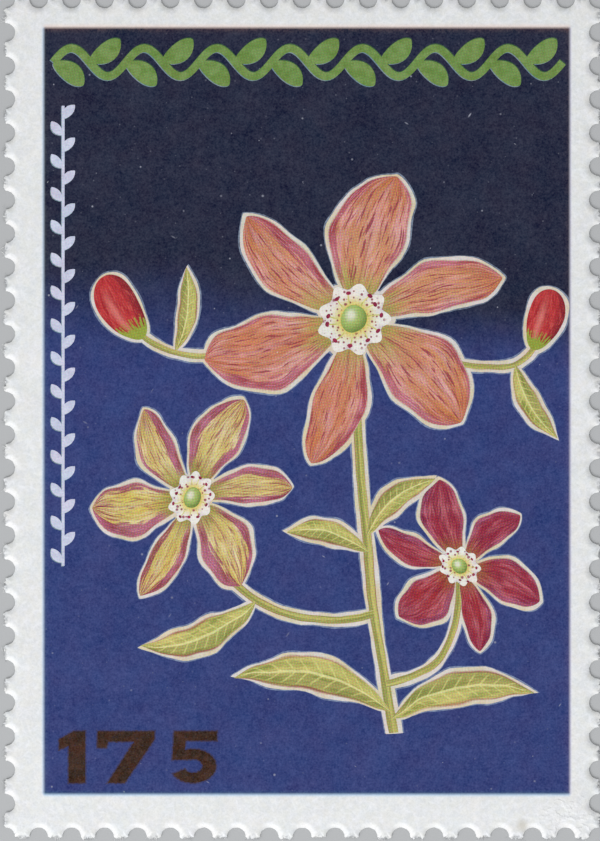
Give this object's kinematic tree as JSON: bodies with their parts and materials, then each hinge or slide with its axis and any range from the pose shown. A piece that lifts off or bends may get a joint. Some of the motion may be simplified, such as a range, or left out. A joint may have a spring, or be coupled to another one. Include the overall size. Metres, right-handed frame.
{
  "type": "postage stamp",
  "caption": "Perforated portrait postage stamp: gummed paper sheet with a white margin, printed in layers of ink with a blue panel, a spray of blossoms, border vines and a plain number.",
  "frame": {"origin": "middle of the gummed underside, where the stamp rests on a surface", "axes": "+Z out of the printed face, +Y towards the top of the design, +X towards its right side"},
  "size_m": [0.0256, 0.036, 0.0001],
  "materials": {
    "paper": "matte",
    "gum": "satin",
    "ground_ink": "satin",
    "rim_ink": "satin",
    "green_ink": "satin",
    "orange_ink": "satin",
    "yellow_ink": "satin",
    "crimson_ink": "satin",
    "pale_ink": "satin",
    "brown_ink": "satin"
  },
  "bodies": {
    "root": {"gum_layer": "gum", "paper_sheet": "paper", "ink_ground": "ground_ink", "ink_top_vine": "green_ink", "ink_side_vine": "pale_ink", "ink_digit_one": "brown_ink", "ink_digit_seven": "brown_ink", "ink_digit_five": "brown_ink", "ink_spray_rim": "rim_ink", "ink_stems_and_leaves": "green_ink", "ink_petals_upper": "orange_ink", "ink_eye_upper": "pale_ink", "ink_knob_upper": "green_ink", "ink_petals_left": "yellow_ink", "ink_eye_left": "pale_ink", "ink_knob_left": "green_ink", "ink_petals_right": "crimson_ink", "ink_eye_right": "pale_ink", "ink_knob_right": "green_ink", "ink_bud_left": "crimson_ink", "ink_bud_right": "crimson_ink"}
  },
  "joints": []
}
